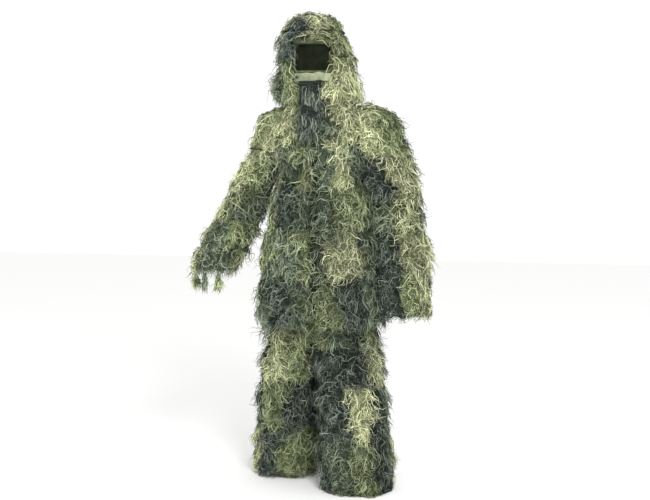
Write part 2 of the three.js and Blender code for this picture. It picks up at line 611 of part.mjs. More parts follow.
function addLeg(sideName) {
  const side = sideName === "left" ? 1 : -1;
  const rings = LEG_RINGS[sideName].map(([level, x, y, wide, deep]) => [level, side * x, y, wide, deep, 2.2]);
  const form = makeForm(rings, LEG_ROWS[sideName].flat());
  const hem = LEG_HEM_LEVELS[sideName];
  add(`${sideName}_thigh`, shell(form, THIGH_TOP, KNEE_LEVEL + KNEE_HALF), COLOURS.cloth);
  const fold = shell(form, KNEE_LEVEL + KNEE_HALF - SEAM, KNEE_LEVEL - KNEE_HALF + SEAM);
  add(`${sideName}_knee_cloth`, fold, COLOURS.cloth);
  add(`${sideName}_shin`, shell(form, KNEE_LEVEL - KNEE_HALF, hem), COLOURS.cloth);

  LEG_ROWS[sideName].forEach(([top, bottom], index) => {
    const stand = LEG_ROW_STAND[index];
    const shift = (stand - FRINGE_PRESSED) / 2;
    const room = { x: stand - shift, y: stand, shift: side * shift };
    add(`${sideName}_${LEG_ROW_NAMES[index]}`, fringeRow(form, top, bottom, room), COLOURS.yarn);
  });
}

// ---------------------------------------------------------------- the suit
addJacket();
addCollar();
addZip();
addHood();
addChinFlap();
for (const sideName of ["left", "right"]) {
  addSleeve(sideName);
  addLeg(sideName);
}
addTassels();
addSeat();
suit.position.z = -NECK_LEVEL;

const model = new THREE.Group();
model.add(suit);
export default model;
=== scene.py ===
# %% [markdown]
# # A ghillie suit, thread by thread
# A ghillie suit is a hooded jacket and trousers of netting cloth. Shredded yarn is knotted into the
# netting in rows, each row hanging over the one below, and each hank of yarn has its own shade.
# The measured model of the suit comes in first. Everything made here is hung on it.

# %% Load the measured suit
import math

import bmesh
import bpy
import numpy as np
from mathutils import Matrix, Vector, noise


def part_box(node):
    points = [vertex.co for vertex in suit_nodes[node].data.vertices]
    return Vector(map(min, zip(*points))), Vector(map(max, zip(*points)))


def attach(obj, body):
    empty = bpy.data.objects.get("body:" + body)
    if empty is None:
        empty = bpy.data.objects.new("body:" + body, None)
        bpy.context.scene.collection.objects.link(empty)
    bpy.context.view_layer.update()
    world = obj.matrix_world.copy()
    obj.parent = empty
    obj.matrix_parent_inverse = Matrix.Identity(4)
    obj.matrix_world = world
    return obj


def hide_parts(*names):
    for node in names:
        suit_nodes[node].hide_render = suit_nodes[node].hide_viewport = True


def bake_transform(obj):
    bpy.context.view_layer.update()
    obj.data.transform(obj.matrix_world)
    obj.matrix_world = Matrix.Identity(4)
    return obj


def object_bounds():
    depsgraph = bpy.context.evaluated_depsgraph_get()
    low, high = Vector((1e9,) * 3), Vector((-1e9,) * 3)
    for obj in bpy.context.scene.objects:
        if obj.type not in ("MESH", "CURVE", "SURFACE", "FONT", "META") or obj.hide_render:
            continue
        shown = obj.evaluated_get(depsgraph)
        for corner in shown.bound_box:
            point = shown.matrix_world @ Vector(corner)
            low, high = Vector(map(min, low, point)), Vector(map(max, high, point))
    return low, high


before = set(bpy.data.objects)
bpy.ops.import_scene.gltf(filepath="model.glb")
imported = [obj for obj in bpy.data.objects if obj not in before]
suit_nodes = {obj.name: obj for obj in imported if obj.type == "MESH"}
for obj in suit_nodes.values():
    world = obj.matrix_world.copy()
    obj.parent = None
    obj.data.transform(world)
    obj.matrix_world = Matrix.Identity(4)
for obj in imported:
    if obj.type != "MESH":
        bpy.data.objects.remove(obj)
cad_low, cad_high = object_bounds()
print("measured suit:", [round(v, 3) for v in cad_high - cad_low], "m,", len(suit_nodes), "pieces")

GROUND = -1.5  # the suit's origin is the base of the neck, this far above the ground
JACKET_HEM = -0.845

# %% [markdown]
# ## Camera, floor and light
# The suit stands a little turned, so the camera is moved round towards the wearer's left. The light is
# a soft, even daylight with one larger lamp at the front, as in a plain studio.

# %% Camera
AIM = Vector((0.008, 0.0, -0.594))
CAMERA_AZIMUTH, CAMERA_ELEVATION, CAMERA_DISTANCE = math.radians(12), math.radians(5), 4.6
towards_camera = Vector((
    math.sin(CAMERA_AZIMUTH) * math.cos(CAMERA_ELEVATION),
    -math.cos(CAMERA_AZIMUTH) * math.cos(CAMERA_ELEVATION),
    math.sin(CAMERA_ELEVATION),
))
camera_data = bpy.data.cameras.new("camera")
camera_data.sensor_width = 36
camera_data.lens = 65.2
camera = bpy.data.objects.new("camera", camera_data)
bpy.context.scene.collection.objects.link(camera)
camera.location = AIM + towards_camera * CAMERA_DISTANCE
camera.rotation_euler = (-towards_camera).to_track_quat("-Z", "Y").to_euler()
bpy.context.scene.camera = camera

# %% Floor and lamps
FLOOR_HALF = 9  # metres from the suit to each edge of the floor
corners = [(x * FLOOR_HALF, y * FLOOR_HALF, GROUND) for x, y in ((-1, -1), (1, -1), (1, 1), (-1, 1))]
floor_mesh = bpy.data.meshes.new("floor")
floor_mesh.from_pydata(corners, [], [(0, 1, 2, 3)])
floor = bpy.data.objects.new("floor", floor_mesh)
bpy.context.scene.collection.objects.link(floor)
floor_material = bpy.data.materials.new("pale_floor")
floor_material.use_nodes = True
floor_material.node_tree.nodes["Principled BSDF"].inputs["Base Color"].default_value = (0.9, 0.9, 0.89, 1)
floor_material.node_tree.nodes["Principled BSDF"].inputs["Roughness"].default_value = 0.9
floor_mesh.materials.append(floor_material)

sky = bpy.data.worlds.new("even daylight")
bpy.context.scene.world = sky
sky.use_nodes = True
sky.node_tree.nodes["Background"].inputs["Color"].default_value = (1.0, 1.0, 1.0, 1)
sky.node_tree.nodes["Background"].inputs["Strength"].default_value = 1.05
bpy.context.scene.view_settings.view_transform = "Standard"  # colours as mixed, with no film curve


SUIT_MIDDLE = Vector((0, 0, -0.6))


def soft_lamp(name, place, size, power):
    """An area lamp at a place, turned to the suit."""
    data = bpy.data.lights.new(name, "AREA")
    data.size = size
    data.energy = power
    lamp = bpy.data.objects.new(name, data)
    bpy.context.scene.collection.objects.link(lamp)
    lamp.location = place
    lamp.rotation_euler = (SUIT_MIDDLE - Vector(place)).to_track_quat("-Z", "Y").to_euler()


soft_lamp("front_lamp", (1.8, -3.6, 2.2), 1.2, 150)

# %% [markdown]
# ## The four yarns
# The suit is knotted from four shades: slate, grey-green, olive and straw. A chart says which shade each
# hank has, as a knitting chart does. A row's chart starts at the middle of the back, runs round the
# wearer's right side to the front, which is the middle of the word, and on round the left side.

# %% Yarn shades and charts
YARN = {
    "S": (0.090, 0.126, 0.110),  # slate
    "G": (0.250, 0.322, 0.218),  # grey-green
    "O": (0.520, 0.600, 0.310),  # olive
    "Y": (0.930, 0.970, 0.580),  # straw
}
CHARTS = {
    "jacket_fringe_row_1": "GOSYOYOGYYGSOY",
    "jacket_fringe_row_2": "OYGSYGOGYGSOGY",
    "jacket_fringe_row_3": "SGOYOSGGOOGYOS",
    "jacket_fringe_row_4": "YGSGOGOGYGSOYG",
    "jacket_fringe_row_5": "GOSOGSGOSGSYOG",
    "left_sleeve_fringe_row_1": "GOYYOOSG",
    "left_sleeve_fringe_row_2": "OSGSYYGO",
    "left_elbow_cloth": "GOGGYOSG",
    "left_sleeve_fringe_row_3": "OSSSYYOG",
    "left_sleeve_fringe_row_4": "GOSSOYGS",
    "right_sleeve_fringe_row_1": "SGOOYOGO",
    "right_sleeve_fringe_row_2": "GOYYOGSG",
    "right_elbow_cloth": "OGYOGGSY",
    "right_sleeve_fringe_row_3": "SOYGOOGS",
    "right_sleeve_fringe_row_4": "GSYGGOSO",
    "left_thigh_fringe_row": "GOOGSOSY",
    "left_knee_fringe_row": "OGSSSYGS",
    "left_shin_fringe_row_1": "SOSSYSGO",
    "left_shin_fringe_row_2": "OGSGOSOG",
    "right_thigh_fringe_row": "SGGYOGOS",
    "right_knee_fringe_row": "GYSYOSGO",
    "right_shin_fringe_row_1": "OGSOSSYG",
    "right_shin_fringe_row_2": "GSYSOOSG",
    "hood_crown_fringe": "OGYSYOGY",
    "hood_fringe_row_1": "GOGSYOOS",
    "hood_fringe_row_2": "SYGOYYGO",
}


def axis_of(name):
    """The line up the middle of a tube: a function from a level to the middle there."""
    points = [v.co for v in suit_nodes[name].data.vertices]
    low, high = min(p.z for p in points), max(p.z for p in points)
    ends = []
    for level in (low, high):
        near = [p for p in points if abs(p.z - level) < 0.02]
        xs, ys = [p.x for p in near], [p.y for p in near]
        ends.append(Vector(((min(xs) + max(xs)) / 2, (min(ys) + max(ys)) / 2, level)))

    def middle(level):
        share = (level - low) / (high - low)
        return ends[0].lerp(ends[1], share)

    return middle, low, high


def way_round(chart, centre, place):
    """Counts hanks from the middle of the back to a place on a row. Their edges waver as the knots do."""
    waver = noise.noise(place * 13) * 0.34 + noise.noise(place * 40) * 0.20
    turn = math.atan2(place.x - centre.x, -(place.y - centre.y)) + waver
    return (turn / (2 * math.pi) + 0.5) % 1 * len(chart)


def hank_shade(chart, centre, place):
    """The yarn's colour at a place on a row. No two hanks took the dye quite alike."""
    hank = int(way_round(chart, centre, place)) % len(chart)
    taken = 1 + 0.22 * math.sin(7.3 * hank + 5.1 * len(chart) + ord(chart[0]))
    return [channel * taken for channel in YARN[chart[hank]]]


print("rows with a chart:", len(CHARTS))

# %% [markdown]
# ## Materials
# Yarn is matt and a little furry. Its colour comes with each thread, as attributes: the hank's shade,
# how bright and how pale this one thread is, and how far along it a place lies, because little light gets
# down to the knots. The mat under the threads has the same shade, darkened with painted shade of the deep
# yarn, and drawn as a tangle of strands.

# %% Node helpers
def new_material(name, roughness):
    """A material with its Principled shader and an empty desk beside it."""
    material = bpy.data.materials.new(name)
    material.use_nodes = True
    tree = material.node_tree
    shader = tree.nodes["Principled BSDF"]
    shader.inputs["Roughness"].default_value = roughness
    shader.inputs["Specular IOR Level"].default_value = 0.12
    return material, tree, shader


def add_node(tree, kind, values=None, **settings):
    """Adds a node, sets its settings, then its inputs by name or number, with a value or a link."""
    node = tree.nodes.new(kind)
    for key, value in settings.items():
        setattr(node, key, value)
    for key, value in (values or {}).items():
        if isinstance(value, bpy.types.NodeSocket):
            tree.links.new(value, node.inputs[key])
        elif value is not None:
            node.inputs[key].default_value = value
    return node


def ramp(tree, factor, *stops):
    """A colour ramp with stops of (position, colour)."""
    node = add_node(tree, "ShaderNodeValToRGB", {0: factor})
    elements = node.color_ramp.elements
    while len(elements) < len(stops):
        elements.new(0.5)
    for element, (position, colour) in zip(elements, stops):
        element.position = position
        element.color = (*colour, 1)
    return node.outputs["Color"]


def times(tree, a, b):
    """Multiplies two colours."""
    mixed = add_node(tree, "ShaderNodeMix", {0: 1.0, 6: a, 7: b}, data_type="RGBA", blend_type="MULTIPLY")
    return mixed.outputs[2]


def carried(tree, name, output="Fac"):
    """Reads a value that a piece's corners carry under a name."""
    return add_node(tree, "ShaderNodeAttribute", attribute_name=name).outputs[output]


def add_bump(tree, shader, height, distance):
    bump = add_node(tree, "ShaderNodeBump", {"Height": height, "Distance": distance, "Strength": 1.0})
    tree.links.new(bump.outputs["Normal"], shader.inputs["Normal"])


# %% Yarn thread
def yarn_thread_material():
    material, tree, shader = new_material("yarn_thread", 0.9)
    hank = carried(tree, "hank", "Color")
    place = add_node(tree, "ShaderNodeTexCoord").outputs["Object"]
    fleck = add_node(tree, "ShaderNodeTexNoise", {"Vector": place, "Scale": 160.0, "Detail": 3.0})
    mottled = ramp(tree, fleck.outputs["Fac"], (0.3, (0.70, 0.70, 0.68)), (0.7, (1.0, 1.0, 0.97)))
    own = ramp(
        tree, carried(tree, "shade"),
        (0.0, (0.07, 0.08, 0.07)), (0.52, (0.36, 0.37, 0.34)), (0.74, (1.0, 1.0, 1.0)),
    )
    lit = ramp(
        tree, carried(tree, "along"),
        (0.0, (0.22, 0.24, 0.22)), (0.38, (0.90, 0.90, 0.90)), (0.7, (1.0, 1.0, 1.0)),
    )
    body = times(tree, times(tree, hank, mottled), own)
    lift = {0: hank, 1: (1.1, 1.1, 1.1), 2: (0.36, 0.38, 0.30)}
    light = add_node(tree, "ShaderNodeVectorMath", lift, operation="MULTIPLY_ADD").outputs[0]
    mixed = {0: carried(tree, "pale"), 6: body, 7: light}
    bleached = add_node(tree, "ShaderNodeMix", mixed, data_type="RGBA").outputs[2]
    tree.links.new(times(tree, bleached, lit), shader.inputs["Base Color"])
    shader.inputs["Sheen Weight"].default_value = 0.04
    shader.inputs["Sheen Roughness"].default_value = 0.6
    return material


def yarn_mat_material():
    material, tree, shader = new_material("yarn_mat", 0.95)
    place = add_node(tree, "ShaderNodeTexCoord").outputs["Object"]
    # Waves that are thrown far out of line draw a tangle of strands.
    tangle = {"Vector": place, "Scale": 60.0, "Distortion": 34.0, "Detail": 3.0, "Detail Scale": 2.2}
    strands = add_node(tree, "ShaderNodeTexWave", tangle, wave_type="BANDS", bands_direction="X")
    # Painted shade: the mat is mostly dark because the deep yarn under the threads lies in shade; its
    # brighter strands are the yarn's own colour.
    dark = ramp(
        tree, strands.outputs["Fac"],
        (0.38, (0.012, 0.016, 0.012)), (0.70, (0.14, 0.15, 0.13)), (0.90, (0.95, 0.96, 0.90)),
    )
    tree.links.new(times(tree, carried(tree, "hank", "Color"), dark), shader.inputs["Base Color"])
    add_bump(tree, shader, strands.outputs["Fac"], 0.003)
    return material


thread_material = yarn_thread_material()
mat_material = yarn_mat_material()

# %% [markdown]
# ## From a measured row to a mat of yarn
# Each row is a plain ring in the measured model. A copy of it is cut finer and roughened, and its lower
# edge is pulled down in clumps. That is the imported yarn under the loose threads. The outer skin of
# the ring, taken by itself, is where the threads grow from. It is thrown away once they have grown.

# %% Fine copies of measured pieces
def fine_copy(name, longest):
    """A bmesh of a measured piece, its corners merged and its edges cut to a longest length."""
    work = bmesh.new()
    work.from_mesh(suit_nodes[name].data)
    bmesh.ops.remove_doubles(work, verts=work.verts, dist=1e-5)
    for _ in range(7):  # each round halves the edges that are still too long
        long_edges = [e for e in work.edges if e.calc_length() > longest]
        if not long_edges:
            break
        bmesh.ops.subdivide_edges(work, edges=long_edges, cuts=1, use_grid_fill=False)
        bmesh.ops.triangulate(work, faces=[f for f in work.faces if len(f.verts) > 3])
    work.normal_update()
    return work


SIDES_ONLY, TOPS_TOO = 0.97, 1.1  # how steep a face may be and still count as outside


def looks_out(face, middle, steepest=SIDES_ONLY):
    """Whether a face looks away from the line up the middle, and isn't a flat end."""
    place = face.calc_center_median()
    away = place - middle(place.z)
    return abs(face.normal.z) < steepest and face.normal.x * away.x + face.normal.y * away.y > 0


def new_piece(name, work, material):
    """Turns a bmesh into a linked object and frees it."""
    mesh = bpy.data.meshes.new(name)
    work.to_mesh(mesh)
    work.free()
    mesh.materials.append(material)
    mesh.shade_smooth()
    piece = bpy.data.objects.new(name, mesh)
    bpy.context.scene.collection.objects.link(piece)
    return piece


def paint_hanks(mesh, chart, middle):
    """Stores each corner's yarn shade as the colour attribute 'hank'."""
    layer = mesh.attributes.new("hank", "FLOAT_COLOR", "POINT")
    for vertex in mesh.vertices:
        layer.data[vertex.index].color = (*hank_shade(chart, middle(vertex.co.z), vertex.co), 1)


def outward(place, middle):
    """The level direction from the line up the middle to a place."""
    away = place - middle(place.z)
    away.z = 0
    return away.normalized()


LUMPS = ((17, 0.010), (48, 0.005))  # how quick and how deep, coarse and fine
HANK_BULGE = 0.016
LEG_FILL = 0.016  # the inner sides of the legs nearly meet
TUCKED_SHARE = 0.22  # of a row's height: its very top stays under the row above


def settle(work, chart, middle, low, high, flatter, fuller):
    """Lets a row's yarn hang: lumpy, less flared at the hem, and each hank a body of its own."""
    outside = {v for f in work.faces if looks_out(f, middle, TOPS_TOO) for v in f.verts}
    for vertex in outside:
        place = vertex.co.copy()
        away = outward(place, middle)
        down = min(1.0, max(0.0, (high - place.z) / (high - low)))
        lump = sum(depth * noise.noise(place * quick) for quick, depth in LUMPS)
        if len(chart) > 1:
            across_hank = way_round(chart, middle(place.z), place) % 1
            lump += HANK_BULGE * (math.sin(math.pi * across_hank) - 0.7)
        if place.z < JACKET_HEM and away.x * place.x < 0:
            lump += LEG_FILL * abs(away.x)
        tucked = min(1.0, down / TUCKED_SHARE)
        vertex.co += away * (tucked * (lump + fuller * (1 - 0.6 * down)) - flatter * down)
    return outside


def squeeze(work, middle, narrower):
    """Makes a piece narrower across, about its own middle."""
    if narrower != 1.0:
        for vertex in work.verts:
            centre = middle(vertex.co.z).x
            vertex.co.x = centre + (vertex.co.x - centre) * narrower


def yarn_skin(name, chart, where=None, steepest=SIDES_ONLY, flatter=0.0, fuller=0.0, narrower=1.0):
    """The outer skin of a measured piece, or the part of it where a test holds."""
    middle, low, high = axis_of(name)
    work = fine_copy(name, 0.018)
    settle(work, chart, middle, low, high, flatter, fuller)
    squeeze(work, middle, narrower)
    work.normal_update()
    gone = [
        f for f in work.faces
        if not looks_out(f, middle, steepest) or (where and not where(f.calc_center_median()))
    ]
    bmesh.ops.delete(work, geom=gone, context="FACES")
    skin = new_piece(name + "_skin", work, mat_material)
    paint_hanks(skin.data, chart, middle)
    return skin


def yarn_mat(name, chart, ragged=0.035, sunk=0.003, flatter=0.0, fuller=0.0, narrower=1.0):
    """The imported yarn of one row, in the place of its measured ring."""
    middle, low, high = axis_of(name)
    work = fine_copy(name, 0.015)
    for vertex in settle(work, chart, middle, low, high, flatter, fuller - sunk):
        place = vertex.co
        clump = noise.noise(Vector((place.x * 32, place.y * 32, place.z * 9)))
        vertex.co += outward(place, middle) * 0.004 * noise.noise(place * 120)
        if place.z - low < 0.006:
            vertex.co.z = max(place.z + ragged * (0.2 - clump), GROUND + 0.001)
    squeeze(work, middle, narrower)
    mat = new_piece(name + "_mat", work, mat_material)
    paint_hanks(mat.data, chart, middle)
    return mat


# %% [markdown]
# ## One tree of nodes for every thread
# A suit holds tens of thousands of threads, so they are grown. Points are scattered over a skin,
# each gets a straight line of a few points, and then every line is bent: down along the cloth,
# out a little, and sideways in waves. Last, the lines get a three-sided thickness. Everything random
# comes from a fixed seed, so the suit is the same each time.

# %% Geometry Nodes helpers
def tree_input(tree, name, kind, value):
    """Gives a tree an input of its own, and says by which name a modifier sets it."""
    socket = tree.interface.new_socket(name, in_out="INPUT", socket_type=kind)
    socket.default_value = value
    return socket.identifier


def maths(tree, operation, a, b=None, c=None, clamp=False):
    node = add_node(tree, "ShaderNodeMath", {0: a, 1: b, 2: c}, operation=operation, use_clamp=clamp)
    return node.outputs[0]


def vectors(tree, operation, a, b=None, scale=None):
    node = add_node(tree, "ShaderNodeVectorMath", {0: a, 1: b, 3: scale}, operation=operation)
    return node.outputs["Value" if operation == "DOT_PRODUCT" else "Vector"]


def chance(tree, low, high, seed, kind="FLOAT"):
    """A random number or direction for each point, the same every time."""
    first, second, result = (0, 1, 0) if kind == "FLOAT_VECTOR" else (2, 3, 1)
    limits = {first: low, second: high, "Seed": seed}
    return add_node(tree, "FunctionNodeRandomValue", limits, data_type=kind).outputs[result]


def keep(tree, geometry, name, kind, value):
    """Stores a value on every point under a name."""
    stored = {"Name": name, "Geometry": geometry, "Value": value}
    node = add_node(tree, "GeometryNodeStoreNamedAttribute", stored, data_type=kind, domain="POINT")
    return node.outputs["Geometry"]


def kept(tree, name, kind):
    """Reads a value that was stored under a name."""
    node = add_node(tree, "GeometryNodeInputNamedAttribute", {"Name": name}, data_type=kind)
    return node.outputs["Attribute"]


# %% The thread tree: planting
THREAD_POINTS = 6  # along one thread
THREAD_SIDES = 3

threads = bpy.data.node_groups.new("yarn_threads", "GeometryNodeTree")
threads.interface.new_socket("Skin", in_out="INPUT", socket_type="NodeSocketGeometry")
threads.interface.new_socket("Threads", in_out="OUTPUT", socket_type="NodeSocketGeometry")
THREAD_INPUT = {
    "density": tree_input(threads, "Threads per square metre", "NodeSocketFloat", 12000.0),
    "seed": tree_input(threads, "Seed", "NodeSocketInt", 1),
    "hem": tree_input(threads, "Level of the hem", "NodeSocketFloat", 0.0),
    "past": tree_input(threads, "Length past the hem", "NodeSocketFloat", 0.028),
    "shortest": tree_input(threads, "Shortest thread", "NodeSocketFloat", 0.035),
    "longest": tree_input(threads, "Longest thread", "NodeSocketFloat", 0.068),
    "uneven": tree_input(threads, "Uneven ends", "NodeSocketFloat", 0.03),
    "radius": tree_input(threads, "Thread radius", "NodeSocketFloat", 0.00105),
    "curl": tree_input(threads, "Curl", "NodeSocketFloat", 0.010),
    "lift": tree_input(threads, "Stands out", "NodeSocketFloat", 0.006),
    "spread": tree_input(threads, "Spread", "NodeSocketFloat", 1.0),
}
group_in = threads.nodes.new("NodeGroupInput")
group_out = threads.nodes.new("NodeGroupOutput")
asked = {s.name: s for s in group_in.outputs}

# The threads are knotted on in tufts, so their density rises and falls, and it is highest by the hem.
here = threads.nodes.new("GeometryNodeInputPosition").outputs[0]
level = add_node(threads, "ShaderNodeSeparateXYZ", {0: here}).outputs[2]
above_hem = maths(threads, "SUBTRACT", level, asked["Level of the hem"])
tufts = add_node(threads, "ShaderNodeTexNoise", {"Vector": here, "Scale": 55.0, "Detail": 1.0})
tufted = maths(threads, "MULTIPLY_ADD", tufts.outputs["Fac"], 4.4, -1.2)
tufted = maths(threads, "MAXIMUM", tufted, 0.12)
by_hem = maths(threads, "SUBTRACT", 1.8, maths(threads, "MULTIPLY", above_hem, 12.0))
tufted = maths(threads, "MULTIPLY", tufted, maths(threads, "MAXIMUM", by_hem, 0.9))
scatter = add_node(threads, "GeometryNodeDistributePointsOnFaces", {
    "Mesh": asked["Skin"],
    "Density": maths(threads, "MULTIPLY", asked["Threads per square metre"], tufted),
    "Seed": asked["Seed"],
})
planted = scatter.outputs["Points"]
out = scatter.outputs["Normal"]
spread = chance(threads, (-1.5, -1.5, -0.8), (1.5, 1.5, 0.8), 13, "FLOAT_VECTOR")
spread = vectors(threads, "SCALE", spread, scale=asked["Spread"])
pull = vectors(threads, "ADD", spread, (0.0, 0.0, -1.0))
into_cloth = vectors(threads, "SCALE", out, scale=vectors(threads, "DOT_PRODUCT", out, pull))
heading = vectors(threads, "NORMALIZE", vectors(threads, "SUBTRACT", pull, into_cloth))
facing_up = add_node(threads, "ShaderNodeSeparateXYZ", {0: out}).outputs[2]
reach = maths(threads, "MULTIPLY_ADD", above_hem, chance(threads, 0.5, 1.0, 11), asked["Length past the hem"])
uneven = maths(threads, "MULTIPLY", chance(threads, -1.0, 1.0, 12), asked["Uneven ends"])
reach = maths(threads, "ADD", reach, uneven)
reach = maths(threads, "MAXIMUM", reach, asked["Shortest thread"])
reach = maths(threads, "MINIMUM", reach, asked["Longest thread"])
lucky = maths(threads, "POWER", chance(threads, 0.0, 1.0, 17), 3.0)
for name, kind, value in (
    ("root", "FLOAT_VECTOR", here),
    ("heading", "FLOAT_VECTOR", heading),
    ("aside", "FLOAT_VECTOR", vectors(threads, "CROSS_PRODUCT", heading, out)),
    ("out", "FLOAT_VECTOR", out),
    ("reach", "FLOAT", reach),
    ("droop", "FLOAT", maths(threads, "MULTIPLY", facing_up, 0.8, clamp=True)),
    ("phase", "FLOAT", chance(threads, 0.0, 6.283, 14)),
    ("waves", "FLOAT", chance(threads, 5.0, 14.0, 15)),
    ("swing", "FLOAT", chance(threads, 0.35, 1.35, 16)),
    ("pale", "FLOAT", maths(threads, "MULTIPLY", lucky, 0.95)),
    ("shade", "FLOAT", chance(threads, 0.0, 1.0, 18)),
):
    planted = keep(threads, planted, name, kind, value)

# %% The thread tree: bending
line = add_node(threads, "GeometryNodeCurvePrimitiveLine", {"End": (0.0, 0.0, -0.1)})
beads = add_node(threads, "GeometryNodeResampleCurve", {"Curve": line.outputs[0], "Count": THREAD_POINTS})
lines = add_node(threads, "GeometryNodeInstanceOnPoints", {"Points": planted, "Instance": beads.outputs[0]})
lines = add_node(threads, "GeometryNodeRealizeInstances", {"Geometry": lines.outputs[0]}).outputs[0]

share = threads.nodes.new("GeometryNodeSplineParameter").outputs["Factor"]
root, heading = kept(threads, "root", "FLOAT_VECTOR"), kept(threads, "heading", "FLOAT_VECTOR")
out, aside = kept(threads, "out", "FLOAT_VECTOR"), kept(threads, "aside", "FLOAT_VECTOR")
swing, far = kept(threads, "swing", "FLOAT"), kept(threads, "reach", "FLOAT")
waves, phase = kept(threads, "waves", "FLOAT"), kept(threads, "phase", "FLOAT")
# Where the cloth faces up, a thread leaves along it and then drops.
dropped = maths(threads, "MULTIPLY", maths(threads, "POWER", share, 2.0), kept(threads, "droop", "FLOAT"))
dropped = maths(threads, "MULTIPLY", dropped, 0.4)
along = maths(threads, "SUBTRACT", share, dropped)
run = vectors(threads, "SCALE", heading, scale=maths(threads, "MULTIPLY", along, far))
run = vectors(threads, "ADD", root, run)
down = maths(threads, "MULTIPLY", far, -1.0)
fall = add_node(threads, "ShaderNodeCombineXYZ", {2: maths(threads, "MULTIPLY", dropped, down)})
run = vectors(threads, "ADD", run, fall.outputs[0])
# It arches off the cloth and settles back.
arch = maths(threads, "SINE", maths(threads, "MULTIPLY", share, 2.5))
arch = maths(threads, "MULTIPLY", maths(threads, "MULTIPLY", arch, asked["Stands out"]), swing)
arch = maths(threads, "SUBTRACT", arch, 0.004)
# It curls more and more towards its end.
growing = maths(threads, "MULTIPLY", maths(threads, "POWER", share, 0.4), asked["Curl"])
growing = maths(threads, "MULTIPLY", growing, swing)
angle = maths(threads, "MULTIPLY_ADD", share, waves, phase)
wave = maths(threads, "MULTIPLY", maths(threads, "SINE", angle), growing)
roll = maths(threads, "MULTIPLY", maths(threads, "COSINE", maths(threads, "MULTIPLY", angle, 0.83)), growing)
run = vectors(threads, "ADD", run, vectors(threads, "SCALE", aside, scale=wave))
off_cloth = maths(threads, "MULTIPLY_ADD", roll, 0.4, arch)
run = vectors(threads, "ADD", run, vectors(threads, "SCALE", out, scale=off_cloth))
# Neighbours share a slower drift, so threads gather into locks.
drift = add_node(threads, "ShaderNodeTexNoise", {"Vector": run, "Scale": 19.0, "Detail": 1.0})
drift_way = vectors(threads, "SUBTRACT", drift.outputs["Color"], (0.5, 0.5, 0.5))
drifted = vectors(threads, "SCALE", drift_way, scale=maths(threads, "MULTIPLY", share, far))
run = vectors(threads, "ADD", run, drifted)
# A thread that reaches the ground lies on it.
spot = add_node(threads, "ShaderNodeSeparateXYZ", {0: run})
run = add_node(threads, "ShaderNodeCombineXYZ", {
    0: spot.outputs[0], 1: spot.outputs[1], 2: maths(threads, "MAXIMUM", spot.outputs[2], GROUND + 0.002),
}).outputs[0]
bent = add_node(threads, "GeometryNodeSetPosition", {"Geometry": lines, "Position": run}).outputs[0]
bent = keep(threads, bent, "along", "FLOAT", share)

# %% The thread tree: thickness
taper = maths(threads, "MAXIMUM", maths(threads, "SUBTRACT", 1.15, maths(threads, "POWER", share, 3.0)), 0.3)
width = maths(threads, "MULTIPLY", taper, asked["Thread radius"])
finer = maths(threads, "MULTIPLY_ADD", kept(threads, "shade", "FLOAT"), -0.55, 1.3)  # bright threads are fine
width = maths(threads, "MULTIPLY", width, finer)
section = add_node(threads, "GeometryNodeCurvePrimitiveCircle", {"Resolution": THREAD_SIDES, "Radius": 1.0})
solid = add_node(threads, "GeometryNodeCurveToMesh", {
    "Curve": bent, "Profile Curve": section.outputs[0], "Scale": width, "Fill Caps": True,
})
realized = add_node(threads, "GeometryNodeRealizeInstances", {"Geometry": solid.outputs[0]}).outputs[0]
dressed = add_node(threads, "GeometryNodeSetMaterial", {"Geometry": realized, "Material": thread_material})
threads.links.new(dressed.outputs[0], group_out.inputs[0])
print("thread tree:", len(threads.nodes), "nodes")


# %% Growing threads
def lay_out_cells(mesh):
    """Gives every thread one cell of the unwrapped square, so that its colour is one small patch."""
    per_thread = THREAD_POINTS * THREAD_SIDES
    count = len(mesh.vertices) // per_thread
    cells = math.ceil(math.sqrt(max(count, 1)))
    corner = np.empty(len(mesh.loops), dtype=np.int64)
    mesh.loops.foreach_get("vertex_index", corner)
    thread, inside = corner // per_thread, corner % per_thread
    along, around = inside // THREAD_SIDES / (THREAD_POINTS - 1), inside % THREAD_SIDES / (THREAD_SIDES - 1)
    spots = np.stack([
        (thread % cells + 0.15 + 0.7 * along) / cells,
        (thread // cells + 0.15 + 0.7 * around) / cells,
    ], axis=1)
    mesh.uv_layers.new(name="OFBake").data.foreach_set("uv", spots.astype(np.float32).ravel())
    return count


grown_threads = []
FACE_X, FACE_HALF, FACE_LOW, FACE_HIGH = -0.006, 0.053, 0.060, 0.190  # where the face is kept clear
STRAY_X, STRAY_Y = 0.032, 0.021  # how far a thread may stand out past the measured suit


def trim(mesh):
    """Cuts away every thread that hangs over the eye opening or the chin flap, and every far stray."""
    per_thread = THREAD_POINTS * THREAD_SIDES
    spots = np.empty(len(mesh.vertices) * 3, dtype=np.float32)
    mesh.vertices.foreach_get("co", spots)
    x, y, z = spots.reshape(-1, per_thread, 3).transpose(2, 0, 1)
    over = ((y < 0) & (abs(x - FACE_X) < FACE_HALF) & (z > FACE_LOW) & (z < FACE_HIGH)).any(axis=1)
    over |= ((x < cad_low[0] - STRAY_X) | (x > cad_high[0] + STRAY_X)).any(axis=1)
    over |= ((y < cad_low[1] - STRAY_Y) | (y > cad_high[1] + STRAY_Y)).any(axis=1)
    if not over.any():
        return
    work = bmesh.new()
    work.from_mesh(mesh)
    gone = [v for v in work.verts if over[v.index // per_thread]]
    bmesh.ops.delete(work, geom=gone, context="VERTS")
    work.to_mesh(mesh)
    work.free()
    print(mesh.name, "trimmed by", int(over.sum()))


